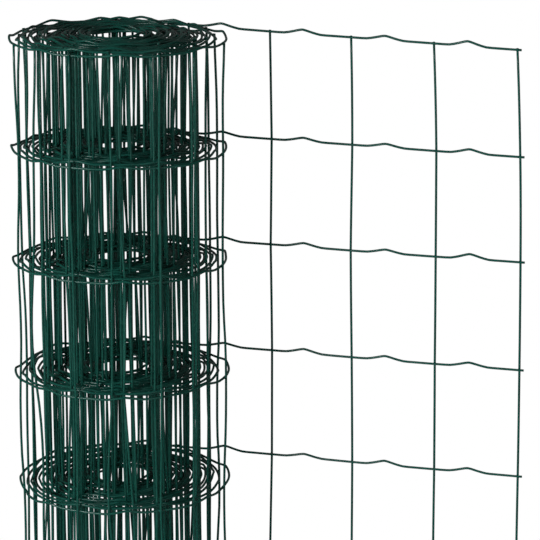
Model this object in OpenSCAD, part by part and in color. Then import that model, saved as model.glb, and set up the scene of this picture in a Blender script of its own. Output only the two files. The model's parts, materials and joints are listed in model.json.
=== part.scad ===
// Roll of welded wire fencing standing on its end, with its free end drawn out flat.
// Millimetres, +Z up. The roll's axis is the Z axis, the floor is z = 0,
// and the free end leaves the back of the roll along +X.

/* [Mesh] */
// Cell width, between cross wires
cell_w = 75; // [50:1:100]
// Cell height, between line wires
cell_h = 100; // [75:1:120]
// Cells in the height of the fence
cells_high = 10; // [4:1:12]
// Wire diameter over its coating
wire_d = 2.2; // [1.6:0.1:2.6]
// Depth that two wires sink into each other at a weld
weld_sink = 0.5; // [0.2:0.1:0.7]

/* [Crimps] */
// Height of the crimp that each line wire has in every cell
crimp_h = 3.7; // [1:0.1:6]
// Width of the crimp's flat top
crimp_top = 3; // [1:0.5:6]
// Length of each of its two flanks
crimp_flank = 13; // [8:0.5:15]
// Place of the crimp in its cell, as a share of the cell's width
crimp_at = 0.41; // [0.35:0.01:0.6]

/* [Roll] */
// Outside diameter over the line wires
roll_d = 190; // [170:1:230]
// Diameter of the open bore
bore_d = 42; // [36:1:56]
// Length of the fence, wound and drawn out together
stock_length = 10000; // [8000:100:10500]
// Share of the winding's depth that opens up towards the outside
slack = 0.2; // [0:0.01:0.25]
// Loose outer turns whose wires stand free of the tight winding
loose_turns = 6; // [2:1:8]
// Thickness of the web that joins the loose turns at each row of line wires
web = 1; // [0.6:0.1:2]

/* [Free end] */
// Whole cells drawn out flat
free_cells = 4; // [1:1:8]
// Distance of the first flat cross wire from the roll's axis
first_cross_x = 36.5; // [30:0.5:60]
// Length of the cut wire ends past the last cross wire
overhang = 4; // [2:0.5:15]
// Clearance between the free end's wires and the roll
seat_gap = 0.2; // [0.1:0.05:0.5]

/* [Hidden] */
// Section of a wire: an octagon with its flats at the wire's diameter
wire_r = wire_d / 2;
half_flat = wire_r * tan(22.5);
wire_corners = [
    [wire_r, half_flat],
    [half_flat, wire_r],
    [-half_flat, wire_r],
    [-wire_r, half_flat],
    [-wire_r, -half_flat],
    [-half_flat, -wire_r],
    [half_flat, -wire_r],
    [wire_r, -half_flat]
];
wire_sides = len(wire_corners);

// Levels of the edge wires
height = cells_high * cell_h + wire_d;
low_z = wire_r;
top_z = height - wire_r;

// Depth that the bore trims off the innermost turn, which leaves its wall plain from end to end
bore_trim = wire_r / 10;

// Centre lines of the innermost and the outermost turn
core_r = bore_d / 2 + wire_r - bore_trim;
outer_r = roll_d / 2 - wire_r;

// Power that keeps the slack in the outer turns
slack_power = 8;

// Number of turns that the wound length fills at the mean radius
far_cross_x = first_cross_x + free_cells * cell_w;
wound_length = stock_length - far_cross_x - overhang;
mean_share = (1 - slack) / 2 + slack / (slack_power + 1);
mean_r = core_r + (outer_r - core_r) * mean_share;
turns = round(wound_length / (2 * PI * mean_r));

// Where a straight wire along the back of the roll comes clear of its outer turn
leave_x = sqrt(pow(roll_d / 2 + seat_gap, 2) - pow(outer_r - wire_r, 2));
tip_x = far_cross_x + overhang;

// Cross wires lie on the outer side of the line wires
cross_r = outer_r + wire_d - weld_sink;

// Share of a turn after which it steps in to the next
step_from = 0.6;

// Cross wires of the loose turns, as degrees wound from where the free end leaves
first_wound = degrees_along(cell_w - first_cross_x, outer_r);
cross_angles = [
    for (wound = first_wound; wound < 360 * loose_turns; wound = next_cross(wound)) wound
];

// Radius of a turn, from 0 at the core to 1 outside
function turn_radius(share) =
    core_r + (outer_r - core_r) * ((1 - slack) * share + slack * pow(share, slack_power));

// Angle that a length spans at a radius
function degrees_along(length, radius) = length / radius * 180 / PI;

// A step from 0 to 1 with eased ends
function ease(share) =
    let (part = min(max(share, 0), 1))
    part * part * (3 - 2 * part);

// Radius of the spiral, by degrees wound from where the free end leaves:
// each turn keeps its radius and steps in to the next at its end
function spiral_radius(wound) =
    let (turn = floor(wound / 360))
    let (step = ease((wound / 360 - turn - step_from) / (1 - step_from)))
    turn_radius(1 - (turn + step) / (turns - 1));

// Angle of the cross wire one cell further in
function next_cross(wound) =
    let (middle = wound + degrees_along(cell_w / 2, spiral_radius(wound)))
    wound + degrees_along(cell_w, spiral_radius(middle));

// Height of a line wire above the floor
function line_z(row) = low_z + row * cell_h;

// Lower side of a row's web, which stays inside the edge wires at both ends
function web_z(row) =
    row == 0 ? low_z : row == cells_high ? top_z - web : line_z(row) - web / 2;

// A line wire's route through one cell, as steps along and up
function crimp(cell_x) =
    let (middle = cell_x + crimp_at * cell_w)
    let (top_half = crimp_top / 2)
    [
        [middle - top_half - crimp_flank, 0],
        [middle - top_half, crimp_h],
        [middle + top_half, crimp_h],
        [middle + top_half + crimp_flank, 0]
    ];

// The whole route of a free line wire, from the roll to its cut end
function line_route() = [
    [leave_x, 0],
    for (cell = [0 : free_cells - 1]) each crimp(first_cross_x + cell * cell_w),
    [tip_x, 0]
];

module wire_section() {
    polygon(wire_corners);
}

// A wire that keeps its upright section along a route in the XZ plane
module wire_along(route) {
    last = len(route) - 1;
    sides = [0 : wire_sides - 1];
    rings = [
        for (step = route, corner = wire_corners)
            [step[0], corner[0], step[1] + corner[1]]
    ];
    walls = [
        for (ring = [0 : last - 1], side = sides)
            let (next = (side + 1) % wire_sides)
            [
                ring * wire_sides + side,
                (ring + 1) * wire_sides + side,
                (ring + 1) * wire_sides + next,
                ring * wire_sides + next
            ]
    ];
    near_cap = [for (side = sides) side];
    far_cap = [for (side = sides) (last + 1) * wire_sides - 1 - side];
    polyhedron(points = rings, faces = concat(walls, [near_cap, far_cap]));
}

// Half section of the roll outside its bore: the closed winding of the tight turns, each turn's wire
// at both ends, and the loose turns' line wires on their webs
module roll_section() {
    tight_r = turn_radius(1 - loose_turns / (turns - 1));
    difference() {
        union() {
            translate([0, low_z])
                square([tight_r, top_z - low_z]);
            for (turn = [0 : turns - 1], z = [low_z, top_z])
                translate([turn_radius(turn / (turns - 1)), z])
                    wire_section();
            for (row = [0 : cells_high])
                translate([0, web_z(row)])
                    square([outer_r, web]);
            for (row = [1 : cells_high - 1], turn = [0 : loose_turns - 1])
                translate([turn_radius(1 - turn / (turns - 1)), line_z(row)])
                    wire_section();
        }
        square([bore_d / 2, height]);
    }
}

// The winding, turned about its bore, with the loose turns' cross wires welded to their line wires
module wound_roll() {
    color("#1c4a3c") {
        rotate_extrude($fn = 96)
            roll_section();
        for (wound = cross_angles)
            rotate(90 + wound)
                translate([spiral_radius(wound) + cross_r - outer_r, 0, low_z])
                    linear_extrude(top_z - low_z)
                        wire_section();
    }
}

// A straight cross wire from edge to edge
module cross_wire() {
    linear_extrude(height)
        wire_section();
}

// Flat welded mesh: crimped line wires with cross wires on their outer side
module free_end() {
    color("#24584a") {
        for (row = [0 : cells_high])
            translate([0, outer_r, line_z(row)])
                wire_along(line_route());
        for (cell = [0 : free_cells])
            translate([first_cross_x + cell * cell_w, cross_r, 0])
                cross_wire();
    }
}

wound_roll();
free_end();
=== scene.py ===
"""A roll of welded wire fencing: line wires and cross wires on one wound sheet, and its studio stage."""

import json
import math

import bpy
import numpy as np
from bpy.props import FloatProperty, FloatVectorProperty, IntProperty, PointerProperty
from mathutils import Matrix, Vector


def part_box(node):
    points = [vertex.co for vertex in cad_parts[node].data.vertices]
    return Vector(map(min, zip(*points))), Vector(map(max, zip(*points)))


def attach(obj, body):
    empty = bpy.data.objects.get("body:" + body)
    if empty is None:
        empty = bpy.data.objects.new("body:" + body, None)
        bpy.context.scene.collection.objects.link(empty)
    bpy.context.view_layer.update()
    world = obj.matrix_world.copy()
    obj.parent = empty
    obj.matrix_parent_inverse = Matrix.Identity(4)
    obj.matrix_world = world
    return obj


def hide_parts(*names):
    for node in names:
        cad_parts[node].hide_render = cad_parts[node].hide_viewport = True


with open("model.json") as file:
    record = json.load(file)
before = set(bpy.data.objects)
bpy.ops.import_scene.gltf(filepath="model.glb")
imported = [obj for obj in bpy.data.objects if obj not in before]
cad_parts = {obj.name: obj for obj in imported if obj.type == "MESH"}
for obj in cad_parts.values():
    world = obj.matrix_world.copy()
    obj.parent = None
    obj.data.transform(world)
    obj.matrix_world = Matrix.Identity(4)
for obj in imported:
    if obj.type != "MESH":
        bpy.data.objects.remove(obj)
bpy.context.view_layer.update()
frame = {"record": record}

bl_info = {
    "name": "Wire Fencing Roll",
    "version": (1, 0, 0),
    "blender": (4, 5, 0),
    "location": "View3D > Sidebar > Fencing",
    "description": "Builds a roll of coated welded mesh with its free end drawn out flat",
    "category": "Mesh",
}

MM = 0.001
ROLL_NODE = "wound_roll"
FREE_NODE = "free_end"

# Seeds of the sheet's ripples, of the crimps' heights and of the cross wires' strays
SHEET_SEED = 20
CRIMP_SEED = 21
STRAY_SEED = 13092

# Spiral: steps per turn in its table of lengths, and the power that keeps the slack in the outer turns
SPIRAL_STEPS = 200
SLACK_POWER = 8

# Creep along the winding: size, turns per wave and phase of its waves, and the turns over which they set in
CREEP_WAVES = ((21.8 * MM, 8.95, 3.78), (8.7 * MM, 3.91, 3.71))
CREEP_TURNS = 3

# Lead of the outer turn: the length over which it is taken up, and the share that the far side adds
LEAD_RUN = 170 * MM
LEAD_FAR = 0.65

# Far side of the outer turn, where it stands loose: its middle and its half width, in turns
FAR_MIDDLE = 0.8
FAR_WIDTH = 0.15

# Ripples of the sheet: shortest and longest wave along it and across it, where the drift is the same at all
# heights
BULGE_WAVES = ((60 * MM, 240 * MM), (150 * MM, 700 * MM))
DRIFT_WAVES = ((90 * MM, 400 * MM), (1e6, 2e6))
SWAY_WAVES = ((120 * MM, 400 * MM), (300 * MM, 900 * MM))

# Wander of the inner turns: the turn at which it sets in, its share outside, and what it gains at the core
WANDER_FROM = 0.5
WANDER_OUTSIDE = 0.65
WANDER_GAIN = 0.3

# Flats between the crimps: the share of the room to the next turn that they take, and their least depth
FLAT_ROOM = 0.9
FLAT_LEAST = 1 * MM

# Mean square of a sharp tent from 0 to 1, taken off so that the flats nearly keep the mean radius
MEAN_SQUARE = 1 / 3

# Bulges of the turns, as shares of the unevenness and of the room to the next turn
BULGE_UNEVEN = 0.25
BULGE_ROOM = 0.3

# Length over which the flats and bulges set in where the roll begins
ONSET_RUN = 40 * MM

# Sway of the free end, as a share of the unevenness, and the length over which it sets in
SWAY_SHARE = 0.6
SWAY_RUN = 60 * MM

# Share of the height over which the free end's fan dies out at the top
FAN_FADE = 0.12

# Droop of the free end: the share of the height that it takes, and the power of the distance that it follows
DROOP_DEPTH = 0.2
DROOP_POWER = 0.7

# Tip of the rows, as shares of the height: where a row is level, the wave's length, and the fade at the floor
TIP_LEVEL = 0.665
TIP_WAVE = 0.868
TIP_FADE = 0.3

# Line wires: points per cell, and the power that crowds them at the crimps
LINE_STEPS = 20
LINE_CROWDING = 1.6

# Crimps: the power by which winding stretches them, the power that eases their feet, and the spread of their
# heights
CRIMP_STRETCH = 0.1
CRIMP_EASE = 1.4
CRIMP_SPREAD = 0.12

# Points per cell of a cross wire
CROSS_STEPS = 6

# Strays of the cross wires: mean and spread of the logarithm of a wound wire's strength, and the strength
# that the free end's wires reach by the roll
STRAY_MEAN = 0.2
STRAY_SPREAD = 0.4
STRAY_FREE = 1.4

# Make-up of a stray: shares of its kinks and of its bow, the bow's waves, and the power by which they shrink
KINK_SHARE = 0.5
BOW_SHARE = 0.45
BOW_WAVES = 8
BOW_POWER = 0.7

# Wires pushed aside: their share of the wound ones, how far they go, as a multiple of a wire's strength, and
# the reach of the push in cells
PUSHED_SHARE = 0.4
PUSH_SIZE = 3
PUSH_REACH = 0.6

# Strength of the world's even light, and of the white ground behind the part where the coating mirrors it.
# The ground is dimmed there, because at full white the gloss greys the dense turns.
EVEN_LIGHT = 0.05
MIRRORED_GROUND = 0.14

# Half of the depth over which the mirrored ground brightens towards the back: on the floor in metres, and in
# the world as a share of the ray's direction
FLOOR_REACH = 1.0
WORLD_REACH = 0.5

# Floor: the light added to it for the camera, and the distances in metres from the roll's axis over which it
# fades to plain white
FLOOR_LIFT = 0.48
FADE_FROM = 0.5
FADE_TO = 1.4

# Soft boxes: name, place and side in metres, power in watts, and whether the gloss shows the box
LAMPS = (
    ("key", (-1.7, -2.9, 1.5), 1.4, 122, True),
    ("fill", (2.2, -1.6, 1.2), 1.6, 12, True),
    ("back", (0.6, 3.2, 1.6), 1.8, 45, False),
)

# Width of the camera's frame in millimetres
SENSOR_WIDTH = 36

free_low, free_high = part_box(FREE_NODE)
roll_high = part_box(ROLL_NODE)[1]
bore = next(mount for mount in frame["record"]["mounts"] if mount["name"] == "bore")


def linear_colour(code):
    """An sRGB hex colour as linear red, green, blue and alpha."""
    channels = np.array([int(code[i:i + 2], 16) for i in (1, 3, 5)]) / 255
    linear = np.where(channels <= 0.04045, channels / 12.92, ((channels + 0.055) / 1.055) ** 2.4)
    return (*linear.tolist(), 1.0)


class FenceMesh(bpy.types.PropertyGroup):
    """Sizes of the welded mesh."""

    cell_width: FloatProperty(
        name="Cell width", description="Distance between cross wires", default=75 * MM, unit="LENGTH")
    cell_height: FloatProperty(
        name="Cell height", description="Distance between line wires", default=100 * MM, unit="LENGTH")
    wire: FloatProperty(
        name="Wire", description="Diameter over the coating", default=2.2 * MM, unit="LENGTH", precision=4)
    core: FloatProperty(
        name="Core", description="Diameter of the steel core", default=1.8 * MM, unit="LENGTH", precision=4)
    weld_sink: FloatProperty(
        name="Weld sink", description="Depth that two welded wires sink into each other",
        default=0.5 * MM, unit="LENGTH", precision=4)
    crimp_height: FloatProperty(
        name="Crimp height", description="Rise of the crimp in each cell of a line wire",
        default=3.7 * MM, unit="LENGTH", precision=4)
    crimp_reach: FloatProperty(
        name="Crimp reach", description="Length of the crimp on each side of its top",
        default=16 * MM, unit="LENGTH", precision=4)
    crimp_bend: FloatProperty(
        name="Crimp bend", description="Rounding of the crimp's top",
        default=2.5 * MM, unit="LENGTH", precision=4)
    crimp_wound: FloatProperty(
        name="Core crimp", description="Height of a crimp at the core, as a share of one in the free end",
        default=0.6, subtype="FACTOR", min=0, max=1)
    crimp_place: FloatProperty(
        name="Crimp place", description="Place of the crimp, as a share of the cell from its roll side",
        default=0.41, subtype="FACTOR", min=0, max=1)
    bead: FloatProperty(
        name="Weld bead", description="Radius of the coating gathered at a weld",
        default=1.5 * MM, unit="LENGTH", precision=4)
    overhang: FloatProperty(
        name="Overhang", description="Cut wire ends past the last cross wire",
        default=4 * MM, unit="LENGTH", precision=4)


class FenceRoll(bpy.types.PropertyGroup):
    """How the mesh is wound."""

    turns: IntProperty(name="Turns", description="Turns in the roll", default=29, min=2)
    slack: FloatProperty(
        name="Slack", description="Share of the winding's depth that opens up towards the outside",
        default=0.2, subtype="FACTOR", min=0, max=1)
    step_from: FloatProperty(
        name="Step", description="Share of a turn after which it steps in to the next",
        default=0.6, subtype="FACTOR", min=0, max=0.95)
    bore_radius: FloatProperty(
        name="Bore radius", description="Radius of the open bore",
        default=bore["dims"]["r_mm"] * MM, unit="LENGTH", precision=4)
    flat_length: FloatProperty(
        name="Flat length", description="Length of the free end from the roll's axis to its cut edge",
        default=free_high.x, unit="LENGTH")
    lift: FloatProperty(
        name="Lift", description="Height of the inner turns above the front of the outer turn",
        default=1.6 * MM, unit="LENGTH", precision=4)
    wander: FloatProperty(
        name="Wander", description="How far an inner turn strays up or down",
        default=2.2 * MM, unit="LENGTH", precision=4)
    uneven: FloatProperty(
        name="Unevenness", description="How far a wound wire strays from its true place",
        default=1.6 * MM, unit="LENGTH", precision=4)
    lead: FloatProperty(
        name="Lead", description="How far the outer turn is pulled round behind the roll",
        default=19.9 * MM, unit="LENGTH", precision=4)
    loose: FloatProperty(
        name="Loose", description="How far the outer turn stands out on its far side",
        default=4.5 * MM, unit="LENGTH", precision=4)
    corner: FloatProperty(
        name="Corner", description="Rounding of the bend that a turn takes at each crimp",
        default=12 * MM, unit="LENGTH", precision=4)
    tip: FloatProperty(
        name="Tip", description="How far the front of a row rises or sinks as the row tips",
        default=7.3 * MM, unit="LENGTH", precision=4)
    fan: FloatProperty(
        name="Fan", description="How far the free end spreads out towards its lower corner",
        default=7.2 * MM, unit="LENGTH", precision=4)
    droop: FloatProperty(
        name="Droop", description="How far the upper corner of the free end hangs down",
        default=8 * MM, unit="LENGTH", precision=4)


class FenceFinish(bpy.types.PropertyGroup):
    """Colours of the coated wire."""

    coating: FloatVectorProperty(
        name="Coating", description="Green of the plastic coating",
        default=linear_colour("#134e43"), size=4, subtype="COLOR", min=0, max=1)
    coating_deep: FloatVectorProperty(
        name="Deep coating", description="Green where the coating is thick",
        default=linear_colour("#0d3f37"), size=4, subtype="COLOR", min=0, max=1)
    core: FloatVectorProperty(
        name="Core", description="Zinc grey of a cut wire end",
        default=linear_colour("#b4b8b8"), size=4, subtype="COLOR", min=0, max=1)


class FenceStage(bpy.types.PropertyGroup):
    """Floor and camera."""

    floor_size: FloatProperty(name="Floor size", description="Side of the floor", default=40, unit="LENGTH")
    floor: FloatVectorProperty(
        name="Floor", description="White of the floor",
        default=linear_colour("#f4f4f2"), size=4, subtype="COLOR", min=0, max=1)
    azimuth: FloatProperty(
        name="Azimuth", description="Direction of the camera from the aim, from +X",
        default=math.radians(-74.44), subtype="ANGLE")
    elevation: FloatProperty(
        name="Elevation", description="Height of the camera above the aim",
        default=math.radians(15.0), subtype="ANGLE")
    roll: FloatProperty(
        name="Camera roll", description="Turn of the camera about its view",
        default=math.radians(-0.13), subtype="ANGLE")
    distance: FloatProperty(
        name="Distance", description="Camera to aim", default=3, unit="LENGTH")
    aim: FloatVectorProperty(
        name="Aim", description="Point at the middle of the picture",
        default=(111.7 * MM, 94 * MM, 778.6 * MM), subtype="TRANSLATION", unit="LENGTH")
    lens: FloatProperty(
        name="Lens", description="Focal length in millimetres for a 36 mm frame",
        default=220.2, unit="CAMERA")


class FenceSettings(bpy.types.PropertyGroup):
    """Everything that the operators read."""

    mesh: PointerProperty(type=FenceMesh)
    roll: PointerProperty(type=FenceRoll)
    finish: PointerProperty(type=FenceFinish)
    stage: PointerProperty(type=FenceStage)


def smooth_step(x):
    """Zero below 0, one above 1, and a cubic ease between them."""
    x = np.clip(x, 0, 1)
    return x * x * (3 - 2 * x)


def unit(vectors):
    """Vectors divided by their lengths."""
    return vectors / np.linalg.norm(vectors, axis=-1, keepdims=True)


class Ripple:
    """Smooth unevenness over the sheet: sine waves along it times cosine waves across it, summed and kept
    between -1 and 1 by a hyperbolic tangent."""

    def __init__(self, rng, along, across, waves=9):
        """Draws the waves. One sine times one cosine has a mean square of a quarter, which sets the share."""
        self.along = 2 * np.pi / rng.uniform(*along, waves)
        self.across = 2 * np.pi / rng.uniform(*across, waves)
        self.along_phase, self.across_phase = rng.uniform(0, 2 * np.pi, (2, waves))
        self.share = 1 / np.sqrt(waves / 4)

    def __call__(self, distance, height):
        waves_along = np.sin(distance[..., None] * self.along + self.along_phase)
        waves_across = np.cos(height[..., None] * self.across + self.across_phase)
        return np.tanh(self.share * (waves_along * waves_across).sum(-1))


class Sheet:
    """The middle surface of the fence, as a function of the distance from its cut edge and of height.

    The free end is flat, at the outer turn's radius behind the axis. The rest is a spiral whose radius
    falls from the outer turn to the core, and whose sides are flattened between the crimps, where it bends.
    """

    def __init__(self, settings):
        """Works out the rows, the spiral's lengths by angle and the whole cells that its turns hold."""
        mesh, roll = settings.mesh, settings.roll
        rng = np.random.default_rng(SHEET_SEED)
        self.mesh, self.roll = mesh, roll
        self.outer = free_low.y + mesh.wire / 2
        self.core = roll.bore_radius + mesh.wire / 2
        self.rows = round((roll_high.z - mesh.wire) / mesh.cell_height) + 1
        self.top = (self.rows - 1) * mesh.cell_height
        self.full_angle = 2 * np.pi * (roll.turns - 1)
        # The table runs on for half a turn, which the creep may need at the inner end
        self.angles = np.linspace(0, self.full_angle + np.pi, SPIRAL_STEPS * roll.turns)
        self.radii = self.radius(self.angles)
        steps = np.diff(self.angles) * (self.radii[1:] + self.radii[:-1]) / 2
        self.lengths = np.concatenate([[0], np.cumsum(steps)])
        wound_length = np.interp(self.full_angle, self.angles, self.lengths)
        self.cells = int((roll.flat_length + wound_length - 2 * mesh.overhang) / mesh.cell_width)
        self.length = 2 * mesh.overhang + self.cells * mesh.cell_width
        self.bulge = Ripple(rng, *BULGE_WAVES)
        self.drift = Ripple(rng, *DRIFT_WAVES)
        self.sway = Ripple(rng, *SWAY_WAVES)

    def radius(self, angle):
        """Core radius plus the winding's depth, which falls from turn to turn with the slack in the outer
        ones. Each turn keeps its radius and steps in to the next at its end."""
        turn, part = np.divmod(angle / (2 * np.pi), 1)
        step = smooth_step((part - self.roll.step_from) / (1 - self.roll.step_from))
        share = np.clip(1 - (turn + step) / (self.roll.turns - 1), 0, 1)
        depth = (1 - self.roll.slack) * share + self.roll.slack * share ** SLACK_POWER
        return self.core + (self.outer - self.core) * depth

    def creep(self, wound):
        """How far the turns have crept along the winding as they were pulled tight: a lead that the outer
        turn takes up behind the roll, a bell of more on its far side, and sine waves over several turns."""
        turn = np.interp(wound, self.lengths, self.angles) / (2 * np.pi)
        crept = sum(
            size * (np.sin(2 * np.pi * turn / span + phase) - np.sin(phase))
            for size, span, phase in CREEP_WAVES)
        lead = smooth_step(wound / LEAD_RUN) + LEAD_FAR * self.far_side(turn)
        return self.roll.lead * lead + crept * smooth_step(turn / CREEP_TURNS)

    def far_side(self, turn):
        """A bell late in the outer turn, where it stands loose: the exponential of minus a square."""
        return np.exp(-((turn - FAR_MIDDLE) / FAR_WIDTH) ** 2)

    def from_crimp(self, distance):
        """Signed distance to the nearest crimp."""
        mesh = self.mesh
        first = mesh.overhang + (1 - mesh.crimp_place) * mesh.cell_width
        return (distance - first + mesh.cell_width / 2) % mesh.cell_width - mesh.cell_width / 2

    def lift(self, distance, angle):
        """Height of the sheet above the floor: the outer turn sinks to the floor in front by a squared
        cosine, and the free end runs down to it, while the inner turns stay up and wander."""
        flat_share = np.clip(distance / self.roll.flat_length, 0, 1)
        outer_turn = np.where(angle < 2 * np.pi, np.cos(angle / 2) ** 2, 1)
        inner = angle / self.full_angle
        drift = self.drift(distance, 0 * distance) * smooth_step(angle / (2 * np.pi) - WANDER_FROM)
        wander = inner + drift * (WANDER_OUTSIDE + WANDER_GAIN * inner)
        return (self.roll.lift * outer_turn + self.roll.wander * wander) * flat_share

    def __call__(self, distance, height):
        """Points of the sheet, height measured from the lowest line wire, whose beads rest on the floor.

        A wound point turns about the axis by the angle wound so far, at the spiral's radius plus flats, which
        are the square of a rounded tent about each crimp, bulges, and the loose far side. A free point lies
        straight along x.
        """
        distance, height = np.broadcast_arrays(distance, height)
        wound = distance - self.roll.flat_length
        wound = wound + self.creep(wound)
        angle = np.interp(wound, self.lengths, self.angles)
        spiral = np.interp(wound, self.lengths, self.radii)
        pitch = spiral - self.radius(np.minimum(angle + 2 * np.pi, self.full_angle))
        room = np.clip(pitch - self.mesh.wire, 0, None)
        onset = smooth_step(wound / ONSET_RUN)
        tent = 1 - 2 * np.hypot(self.from_crimp(distance), self.roll.corner) / self.mesh.cell_width
        flattened = (FLAT_ROOM * room + FLAT_LEAST) * (tent ** 2 - MEAN_SQUARE)
        bulged = (BULGE_UNEVEN * self.roll.uneven + BULGE_ROOM * room) * self.bulge(distance, height)
        stood_out = self.roll.loose * self.far_side(angle / (2 * np.pi))
        radius = spiral + onset * (flattened + bulged) + stood_out
        turn = np.pi / 2 + angle
        swayed = self.outer + self.flat_sway(distance, height, wound)
        x = np.where(wound > 0, radius * np.cos(turn), self.fanned(height, wound))
        y = np.where(wound > 0, radius * np.sin(turn), swayed)
        level = self.mesh.bead + height + self.lift(distance, angle)
        z = level + self.tipped(height, y) - self.drooped(height, wound)
        return np.stack([x, y, z], -1)

    def flat_sway(self, distance, height, wound):
        """Slight waviness of the flat free end, none where it meets the roll."""
        return SWAY_SHARE * self.roll.uneven * self.sway(distance, height) * smooth_step(-wound / SWAY_RUN)

    def fanned(self, height, wound):
        """Distance of the free end from the axis, with a spread that grows with its square and dies out
        exponentially towards the top edge."""
        share = wound / self.roll.flat_length
        return -wound + self.roll.fan * share ** 2 * (1 - np.exp((height / self.top - 1) / FAN_FADE))

    def drooped(self, height, wound):
        """How far the free end hangs: by a power of its distance from the axis, easing in from its top two
        cells to its top edge."""
        share = np.clip(-wound / self.roll.flat_length, 0, 1)
        near_top = smooth_step((height / self.top - (1 - DROOP_DEPTH)) / DROOP_DEPTH)
        return self.roll.droop * share ** DROOP_POWER * near_top

    def tipped(self, height, y):
        """Rise of a row in front of its back: a sine of its height, which dies out at the floor."""
        share = height / self.top
        wave = np.sin(2 * np.pi * (share - TIP_LEVEL) / TIP_WAVE) * smooth_step(share / TIP_FADE)
        return self.roll.tip * wave * (self.outer - y) / (2 * self.outer)

    def outward(self, distance, height):
        """Level unit normals of the sheet, pointing away from the roll's axis."""
        step = 0.5 * MM
        run = self(distance + step, height) - self(distance - step, height)
        return unit(np.stack([run[..., 1], -run[..., 0], 0 * run[..., 0]], -1))


def crimp_rise(sheet, distance):
    """Rise of a line wire at its crimps: a tent with a rounded top and eased feet, lower towards the core,
    where winding has stretched it."""
    mesh = sheet.mesh
    reach = np.hypot(sheet.from_crimp(distance), mesh.crimp_bend) - mesh.crimp_bend
    wound = np.clip((distance - sheet.roll.flat_length) / sheet.length, 0, 1)
    height = mesh.crimp_height * (1 - (1 - mesh.crimp_wound) * wound ** CRIMP_STRETCH)
    return height * np.clip(1 - reach / mesh.crimp_reach, 0, 1) ** CRIMP_EASE


def line_wire_steps(sheet):
    """Distances of a line wire's points, closest together at each crimp by a power of the way to it."""
    mesh = sheet.mesh
    share = np.linspace(-1, 1, LINE_STEPS, endpoint=False)
    around = mesh.cell_width / 2 * np.sign(share) * np.abs(share) ** LINE_CROWDING
    crimps = mesh.overhang + (np.arange(sheet.cells) + 1 - mesh.crimp_place) * mesh.cell_width
    inner = (crimps[:, None] + around).ravel()
    inner = inner[(inner > mesh.overhang / 2) & (inner < sheet.length - mesh.overhang / 2)]
    return np.concatenate([[0, mesh.overhang], inner, [sheet.length]])


def line_wire_paths(sheet):
    """Centre lines of all line wires, one row of points each, with the crimps' heights a little uneven."""
    mesh = sheet.mesh
    rng = np.random.default_rng(CRIMP_SEED)
    distance = line_wire_steps(sheet)
    height = np.arange(sheet.rows)[:, None] * mesh.cell_height
    points = sheet(distance[None, :], height)
    cell = np.clip((distance - mesh.overhang) / mesh.cell_width, 0, sheet.cells - 1).astype(int)
    strength = rng.normal(1, CRIMP_SPREAD, (sheet.rows, sheet.cells))[:, cell]
    points[..., 2] += crimp_rise(sheet, distance) * strength
    return points


def cross_wire_places(sheet):
    """Distance of each cross wire from the cut edge of the fence."""
    return sheet.mesh.overhang + np.arange(sheet.cells + 1) * sheet.mesh.cell_width


def cross_wire_stray(sheet, height):
    """How far each cross wire strays along the sheet at some heights: from weld to weld it runs straight
    between seeded offsets, bows a little by a sum of cosine waves, and some wires are pushed aside by a bell
    of height."""
    rng = np.random.default_rng(STRAY_SEED)
    place = cross_wire_places(sheet)
    count = len(place)
    in_roll = place > sheet.roll.flat_length
    wound_strength = rng.lognormal(STRAY_MEAN, STRAY_SPREAD, count)
    free_strength = STRAY_FREE * place / sheet.roll.flat_length
    strength = np.where(in_roll, wound_strength, free_strength)[:, None] * sheet.roll.uneven
    level = np.clip(height / sheet.mesh.cell_height, 0, sheet.rows - 1)
    below = np.minimum(level.astype(int), sheet.rows - 2)
    offsets = rng.normal(0, 1, (count, sheet.rows))
    kinked = offsets[:, below] + (offsets[:, below + 1] - offsets[:, below]) * (level - below)
    waves = np.arange(1, BOW_WAVES + 1)
    sizes = rng.normal(0, 1, (count, len(waves))) / waves ** BOW_POWER
    phases = rng.uniform(0, 2 * np.pi, sizes.shape)
    bows = np.cos(level[:, None, None] * np.pi * waves / (sheet.rows - 1) + phases) * sizes
    bowed = bows.sum(-1).T
    is_pushed = in_roll & (rng.random(count) < PUSHED_SHARE)
    push = np.where(is_pushed, rng.normal(0, PUSH_SIZE, count), 0)[:, None]
    middle = rng.uniform(0, sheet.rows - 1, count)[:, None]
    pushed = push * np.exp(-((level - middle) / PUSH_REACH) ** 2)
    return strength * (KINK_SHARE * kinked + BOW_SHARE * bowed + pushed)


def cross_wire_paths(sheet):
    """Centre lines of all cross wires, from edge to edge on the sheet's outer side, and their normals."""
    mesh = sheet.mesh
    height = np.linspace(0, sheet.top, CROSS_STEPS * (sheet.rows - 1) + 1)
    distance = cross_wire_places(sheet)[:, None] + cross_wire_stray(sheet, height)
    height = np.broadcast_to(height, distance.shape).copy()
    height[:, 0] -= mesh.wire / 2
    height[:, -1] += mesh.wire / 2
    normal = sheet.outward(distance, height)
    return sheet(distance, height) + normal * (mesh.wire - mesh.weld_sink), normal


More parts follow.
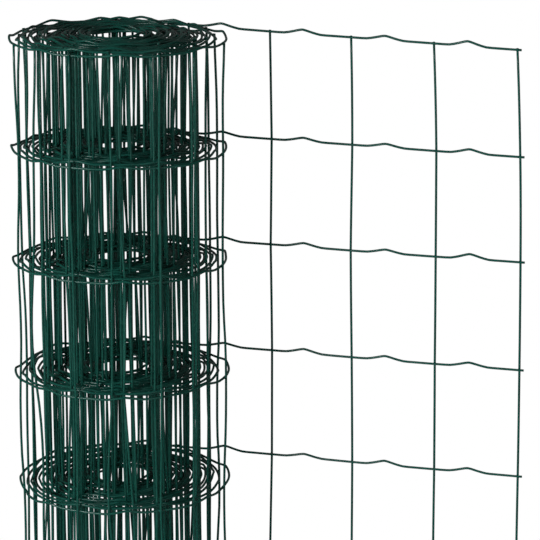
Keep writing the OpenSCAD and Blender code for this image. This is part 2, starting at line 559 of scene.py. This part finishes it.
def wire_tubes(paths, side, wire, core, sides=8):
    """Round wires along many paths: a circle carried along each path, across its tangent and starting on its
    given side, with both ends cut flat and showing the core. Returns points, four-sided faces, and the
    three-sided faces of the cores."""
    count, steps = paths.shape[:2]
    tangent = unit(np.gradient(paths, axis=1))
    first = unit(side - (side * tangent).sum(-1, keepdims=True) * tangent)
    second = np.cross(tangent, first)
    angle = np.arange(sides) * 2 * np.pi / sides
    circle = np.cos(angle)[:, None] * first[:, :, None] + np.sin(angle)[:, None] * second[:, :, None]
    walls = paths[:, :, None] + wire / 2 * circle
    ends = [0, -1]
    cores = paths[:, ends, None] + core / 2 * circle[:, ends]
    points = np.concatenate([walls.reshape(-1, 3), cores.reshape(-1, 3), paths[:, ends].reshape(-1, 3)])
    wall = np.arange(count * steps * sides).reshape(count, steps, sides)
    core_ring = wall.size + np.arange(count * 2 * sides).reshape(count, 2, sides)
    middle = wall.size + core_ring.size + np.arange(count * 2).reshape(count, 2)
    wall_next, core_next = np.roll(wall, -1, 2), np.roll(core_ring, -1, 2)
    long_quads = np.stack([wall[:, :-1], wall_next[:, :-1], wall_next[:, 1:], wall[:, 1:]], -1)
    near_quads = np.stack([wall[:, 0], core_ring[:, 0], core_next[:, 0], wall_next[:, 0]], -1)
    far_quads = np.stack([wall[:, -1], wall_next[:, -1], core_next[:, 1], core_ring[:, 1]], -1)
    centre = np.broadcast_to(middle[:, :, None], core_ring.shape)
    near_tris = np.stack([core_ring[:, 0], centre[:, 0], core_next[:, 0]], -1)
    far_tris = np.stack([core_ring[:, 1], core_next[:, 1], centre[:, 1]], -1)
    quads = np.concatenate([part.reshape(-1, 4) for part in (long_quads, near_quads, far_quads)])
    tris = np.concatenate([part.reshape(-1, 3) for part in (near_tris, far_tris)])
    return points, quads, tris


def weld_beads(sheet, sides=8, rings=4):
    """Coating gathered at each crossing: a small ball between the two wires, from latitude and longitude.
    Returns points, four-sided faces and the three-sided faces at the poles."""
    mesh = sheet.mesh
    height = np.arange(sheet.rows) * mesh.cell_height
    distance = (cross_wire_places(sheet)[:, None] + cross_wire_stray(sheet, height)).ravel()
    height = np.tile(height, sheet.cells + 1)
    normal = sheet.outward(distance, height)
    centre = sheet(distance, height) + normal * (mesh.wire - mesh.weld_sink) / 2
    up = np.array([0.0, 0.0, 1.0])
    along = np.cross(up, normal)
    turn = (np.arange(sides) * 2 * np.pi / sides)[:, None]
    slope = np.linspace(-np.pi / 2, np.pi / 2, rings + 1)[1:-1, None, None]
    level = np.cos(turn) * along[:, None] + np.sin(turn) * normal[:, None]
    belts = centre[:, None, None] + mesh.bead * (np.cos(slope) * level[:, None] + np.sin(slope) * up)
    poles = centre[:, None] + mesh.bead * np.stack([-up, up])
    belt = np.arange(belts.size // 3).reshape(belts.shape[:-1])
    pole = belt.size + np.arange(poles.size // 3).reshape(poles.shape[:-1])
    after = np.roll(belt, -1, 2)
    quads = np.stack([belt[:, :-1], belt[:, 1:], after[:, 1:], after[:, :-1]], -1)
    low_pole, high_pole = (np.broadcast_to(pole[:, end:end + 1], belt[:, 0].shape) for end in (0, 1))
    low_tris = np.stack([low_pole, belt[:, 0], after[:, 0]], -1)
    high_tris = np.stack([high_pole, after[:, -1], belt[:, -1]], -1)
    points = np.concatenate([belts.reshape(-1, 3), poles.reshape(-1, 3)])
    return points, quads.reshape(-1, 4), np.concatenate([low_tris, high_tris]).reshape(-1, 3)


def put_piece(name, points, quads, tris, materials):
    """A mesh object from whole arrays, riding on the frame and finished with the coated wire's slot. Given
    two materials, its three-sided faces are flat cut ends in the second."""
    faces = [len(quads), len(tris)]
    corners = np.concatenate([quads.ravel(), tris.ravel()]).astype(np.int32)
    counts = np.repeat([4, 3], faces)
    starts = (np.cumsum(counts) - counts).astype(np.int32)
    slots = np.repeat([0, len(materials) - 1], faces).astype(np.int32)
    smooth = np.repeat([True, len(materials) == 1], faces)
    mesh = bpy.data.meshes.new(name)
    mesh.vertices.add(len(points))
    mesh.vertices.foreach_set("co", points.astype(np.float32).ravel())
    mesh.loops.add(len(corners))
    mesh.loops.foreach_set("vertex_index", corners)
    mesh.polygons.add(len(counts))
    mesh.polygons.foreach_set("loop_start", starts)
    for material in materials:
        mesh.materials.append(material)
    mesh.polygons.foreach_set("material_index", slots)
    mesh.polygons.foreach_set("use_smooth", smooth)
    mesh.update(calc_edges=True)
    if mesh.validate():
        raise RuntimeError(f"{name} came out with broken faces")
    piece = bpy.data.objects.new(name, mesh)
    bpy.context.scene.collection.objects.link(piece)
    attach(piece, "root")
    return piece


def add_node(tree, kind, settings=None, **inputs):
    """One node, with its settings by name and its inputs by name, or by number after an underscore. An input
    is another node's socket, which is linked, or a plain value."""
    node = tree.nodes.new(kind)
    for name, value in (settings or {}).items():
        setattr(node, name, value)
    for name, value in inputs.items():
        socket = node.inputs[int(name[1:]) if name[1:].isdigit() else name.replace("_", " ")]
        if isinstance(value, bpy.types.NodeSocket):
            tree.links.new(value, socket)
        else:
            socket.default_value = value
    return node


def new_material(name):
    """A material and its empty node tree, or no tree where the material is there already."""
    material = bpy.data.materials.get(name)
    if material:
        return material, None
    material = bpy.data.materials.new(name)
    material.use_nodes = True
    material.node_tree.nodes.clear()
    return material, material.node_tree


def dipped_pvc(finish):
    """Plasticised PVC, dipped over wire: a smooth deep green skin that catches the lamps in thin strokes,
    with patches where it ran thicker and darker."""
    material, tree = new_material("Dipped green PVC coating")
    if tree is None:
        return material
    # Orange peel is about 0.3 mm wide, and is drawn coarser so that it shows in a close view
    peel_width = 0.8 * MM
    peel_depth = 0.05 * MM
    run_length = 14 * MM
    place = add_node(tree, "ShaderNodeTexCoord").outputs["Object"]
    noise = add_node(tree, "ShaderNodeTexNoise", Vector=place, Scale=1 / run_length, Detail=2.0)
    runs = noise.outputs["Fac"]
    colour = add_node(
        tree, "ShaderNodeMix", {"data_type": "RGBA"},
        _0=runs, _6=tuple(finish.coating_deep), _7=tuple(finish.coating))
    peel = add_node(tree, "ShaderNodeTexNoise", Vector=place, Scale=1 / peel_width, Detail=3.0)
    gloss = add_node(
        tree, "ShaderNodeMapRange", Value=runs, From_Min=0.3, From_Max=0.7, To_Min=0.22, To_Max=0.34)
    bump = add_node(
        tree, "ShaderNodeBump", Height=peel.outputs["Fac"], Strength=0.15, Distance=peel_depth)
    shader = add_node(
        tree, "ShaderNodeBsdfPrincipled", Base_Color=colour.outputs[2], Roughness=gloss.outputs["Result"],
        IOR=1.53, Specular_IOR_Level=0.28, Normal=bump.outputs["Normal"])
    add_node(tree, "ShaderNodeOutputMaterial", Surface=shader.outputs["BSDF"])
    return material


def cut_zinc_steel(finish):
    """Galvanised steel wire, sheared: a pale grey metal face, scored rough by the blade."""
    material, tree = new_material("Sheared galvanised steel")
    if tree is None:
        return material
    # Scores are finer than a tenth of a millimetre, and are drawn coarser so that they show in a close view
    score_width = 0.3 * MM
    score_depth = 0.05 * MM
    place = add_node(tree, "ShaderNodeTexCoord").outputs["Object"]
    noise = add_node(tree, "ShaderNodeTexNoise", Vector=place, Scale=1 / score_width, Detail=2.0)
    scores = noise.outputs["Fac"]
    rough = add_node(tree, "ShaderNodeMapRange", Value=scores, To_Min=0.3, To_Max=0.6)
    bump = add_node(tree, "ShaderNodeBump", Height=scores, Strength=0.4, Distance=score_depth)
    shader = add_node(
        tree, "ShaderNodeBsdfPrincipled", Base_Color=tuple(finish.core), Metallic=1.0,
        Roughness=rough.outputs["Result"], Normal=bump.outputs["Normal"])
    add_node(tree, "ShaderNodeOutputMaterial", Surface=shader.outputs["BSDF"])
    return material


def wire_materials(settings):
    """The coating, and the steel that shows at a wire's cut ends."""
    return [dipped_pvc(settings.finish), cut_zinc_steel(settings.finish)]


def mirror_ray(tree, ray):
    """One for a ray that has been reflected or has passed through something, else zero."""
    return add_node(
        tree, "ShaderNodeMath", {"operation": "MAXIMUM"},
        _0=ray["Is Glossy Ray"], _1=ray["Is Transmission Ray"]).outputs[0]


def mirrored_ground(tree, place, reach):
    """Strength of the ground in a reflection: it rises along y from the even light in front of the part to
    the dimmed white behind it."""
    behind = add_node(tree, "ShaderNodeSeparateXYZ", Vector=place).outputs["Y"]
    return add_node(
        tree, "ShaderNodeMapRange", Value=behind, From_Min=-reach, From_Max=reach,
        To_Min=EVEN_LIGHT, To_Max=MIRRORED_GROUND).outputs["Result"]


def painted_floor(stage):
    """White painted board, matt: near the part the camera sees its shaded paint with some light added, which
    keeps the shadow, and further off it fades to plain white."""
    material, tree = new_material("White studio floor")
    if tree is None:
        return material
    place = add_node(tree, "ShaderNodeTexCoord").outputs["Object"]
    ray = add_node(tree, "ShaderNodeLightPath").outputs
    away = add_node(tree, "ShaderNodeVectorMath", {"operation": "LENGTH"}, _0=place).outputs["Value"]
    fade = add_node(tree, "ShaderNodeMapRange", Value=away, From_Min=FADE_FROM, From_Max=FADE_TO)
    to_white = add_node(
        tree, "ShaderNodeMath", {"operation": "MULTIPLY"},
        _0=ray["Is Camera Ray"], _1=fade.outputs["Result"])
    lift = add_node(
        tree, "ShaderNodeMath", {"operation": "MULTIPLY"}, _0=ray["Is Camera Ray"], _1=FLOOR_LIFT)
    paint = add_node(tree, "ShaderNodeBsdfDiffuse", Color=tuple(stage.floor))
    glow = add_node(tree, "ShaderNodeEmission", Strength=lift.outputs[0])
    near = add_node(tree, "ShaderNodeAddShader", _0=paint.outputs[0], _1=glow.outputs[0])
    white = add_node(tree, "ShaderNodeEmission", Strength=1.0)
    seen = add_node(
        tree, "ShaderNodeMixShader", _0=to_white.outputs[0], _1=near.outputs[0], _2=white.outputs[0])
    mirrored = add_node(tree, "ShaderNodeEmission", Strength=mirrored_ground(tree, place, FLOOR_REACH))
    both = add_node(
        tree, "ShaderNodeMixShader", _0=mirror_ray(tree, ray), _1=seen.outputs[0], _2=mirrored.outputs[0])
    add_node(tree, "ShaderNodeOutputMaterial", Surface=both.outputs[0])
    return material


def lay_floor(stage):
    """A square floor at z = 0."""
    half = stage.floor_size / 2
    corners = [(-half, -half, 0), (half, -half, 0), (half, half, 0), (-half, half, 0)]
    mesh = bpy.data.meshes.new("floor")
    mesh.from_pydata(corners, [], [(0, 1, 2, 3)])
    mesh.materials.append(painted_floor(stage))
    floor = bpy.data.objects.new("floor", mesh)
    bpy.context.scene.collection.objects.link(floor)


def light_world(scene):
    """White to the camera, the dimmed ground in reflections, and a weak even light on surfaces."""
    world = bpy.data.worlds.new("Studio")
    world.use_nodes = True
    scene.world = world
    tree = world.node_tree
    tree.nodes.clear()
    direction = add_node(tree, "ShaderNodeTexCoord").outputs["Generated"]
    ray = add_node(tree, "ShaderNodeLightPath").outputs
    mirrored = add_node(
        tree, "ShaderNodeMapRange", Value=mirror_ray(tree, ray),
        To_Min=EVEN_LIGHT, To_Max=mirrored_ground(tree, direction, WORLD_REACH))
    seen = add_node(
        tree, "ShaderNodeMapRange", Value=ray["Is Camera Ray"], To_Min=mirrored.outputs["Result"], To_Max=1.0)
    glow = add_node(tree, "ShaderNodeBackground", Strength=seen.outputs["Result"])
    add_node(tree, "ShaderNodeOutputWorld", Surface=glow.outputs["Background"])


def hang_lamps(stage):
    """Three soft boxes turned to the aim: the key from the front left, a weak fill from the right, and one
    behind that lights the back without a reflection of its own."""
    target = Vector(stage.aim)
    for name, place, side, power, in_gloss in LAMPS:
        lamp = bpy.data.lights.new(name, "AREA")
        lamp.energy = power
        lamp.size = side
        holder = bpy.data.objects.new(name, lamp)
        holder.location = place
        holder.rotation_euler = (target - Vector(place)).to_track_quat("-Z", "Y").to_euler()
        holder.visible_glossy = in_gloss
        bpy.context.scene.collection.objects.link(holder)


def place_camera(scene, stage):
    """Camera on a sphere about its aim, turned a little about its view."""
    level = math.cos(stage.elevation)
    back = Vector((
        level * math.cos(stage.azimuth), level * math.sin(stage.azimuth), math.sin(stage.elevation)))
    right = Vector((0, 0, 1)).cross(back).normalized()
    up = back.cross(right)
    turned_right = math.cos(stage.roll) * right + math.sin(stage.roll) * up
    turned_up = back.cross(turned_right)
    data = bpy.data.cameras.new("camera")
    data.lens = stage.lens
    data.sensor_width = SENSOR_WIDTH
    camera = bpy.data.objects.new("camera", data)
    turn = Matrix((turned_right, turned_up, back)).transposed().to_4x4()
    camera.matrix_world = Matrix.Translation(Vector(stage.aim) + stage.distance * back) @ turn
    scene.collection.objects.link(camera)
    scene.camera = camera


class FENCE_OT_line_wires(bpy.types.Operator):
    """Lay the crimped wires that run along the fence, from the cut edge to the core of the roll"""

    bl_idname = "fence.line_wires"
    bl_label = "Line Wires"

    def execute(self, context):
        settings = context.scene.fence
        sheet = Sheet(settings)
        paths = line_wire_paths(sheet)
        up = np.broadcast_to([0.0, 0.0, 1.0], paths.shape)
        for row in range(sheet.rows):
            tube = wire_tubes(paths[row:row + 1], up[row:row + 1], settings.mesh.wire, settings.mesh.core)
            piece = put_piece(f"line_wire_{row + 1:02d}", *tube, wire_materials(settings))
            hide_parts(ROLL_NODE, FREE_NODE)
        return {"FINISHED"}


class FENCE_OT_cross_wires(bpy.types.Operator):
    """Stand the cross wires against the outer side of the line wires"""

    bl_idname = "fence.cross_wires"
    bl_label = "Cross Wires"

    def execute(self, context):
        settings = context.scene.fence
        sheet = Sheet(settings)
        paths, normals = cross_wire_paths(sheet)
        in_free_end = cross_wire_places(sheet) < settings.roll.flat_length
        for name, node, chosen in (
            ("cross_wires_free", FREE_NODE, in_free_end),
            ("cross_wires_wound", ROLL_NODE, ~in_free_end),
        ):
            tube = wire_tubes(paths[chosen], normals[chosen], settings.mesh.wire, settings.mesh.core)
            piece = put_piece(name, *tube, wire_materials(settings))
            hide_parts(node)
        return {"FINISHED"}


class FENCE_OT_weld_beads(bpy.types.Operator):
    """Round off every crossing with the coating that gathers there"""

    bl_idname = "fence.weld_beads"
    bl_label = "Weld Beads"

    def execute(self, context):
        settings = context.scene.fence
        beads = weld_beads(Sheet(settings))
        piece = put_piece("weld_beads", *beads, wire_materials(settings)[:1])
        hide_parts(ROLL_NODE, FREE_NODE)
        return {"FINISHED"}


class FENCE_OT_stage(bpy.types.Operator):
    """Set the white floor, the soft light and the camera"""

    bl_idname = "fence.stage"
    bl_label = "Stage"

    def execute(self, context):
        stage = context.scene.fence.stage
        lay_floor(stage)
        light_world(context.scene)
        hang_lamps(stage)
        place_camera(context.scene, stage)
        context.scene.view_settings.view_transform = "Standard"
        return {"FINISHED"}


class FENCE_PT_sidebar(bpy.types.Panel):
    """Sizes and steps of the fencing roll"""

    bl_label = "Wire Fencing Roll"
    bl_space_type = "VIEW_3D"
    bl_region_type = "UI"
    bl_category = "Fencing"

    def draw(self, context):
        settings = context.scene.fence
        for title, group in (
            ("Mesh", settings.mesh),
            ("Roll", settings.roll),
            ("Finish", settings.finish),
            ("Stage", settings.stage),
        ):
            box = self.layout.box()
            box.label(text=title)
            for name in type(group).__annotations__:
                box.prop(group, name)
        for step in OPERATORS:
            self.layout.operator(step.bl_idname)


OPERATORS = (FENCE_OT_line_wires, FENCE_OT_cross_wires, FENCE_OT_weld_beads, FENCE_OT_stage)
CLASSES = (FenceMesh, FenceRoll, FenceFinish, FenceStage, FenceSettings, *OPERATORS, FENCE_PT_sidebar)


def register():
    """Adds the classes, and the settings to the scene."""
    for item in CLASSES:
        bpy.utils.register_class(item)
    bpy.types.Scene.fence = PointerProperty(type=FenceSettings)


def unregister():
    """Takes the settings and the classes out again."""
    del bpy.types.Scene.fence
    for item in reversed(CLASSES):
        bpy.utils.unregister_class(item)


def main():
    """Builds the pieces and the stage."""
    register()
    bpy.ops.fence.line_wires()
    bpy.ops.fence.cross_wires()
    bpy.ops.fence.weld_beads()
    bpy.ops.fence.stage()


if __name__ == "__main__":
    main()
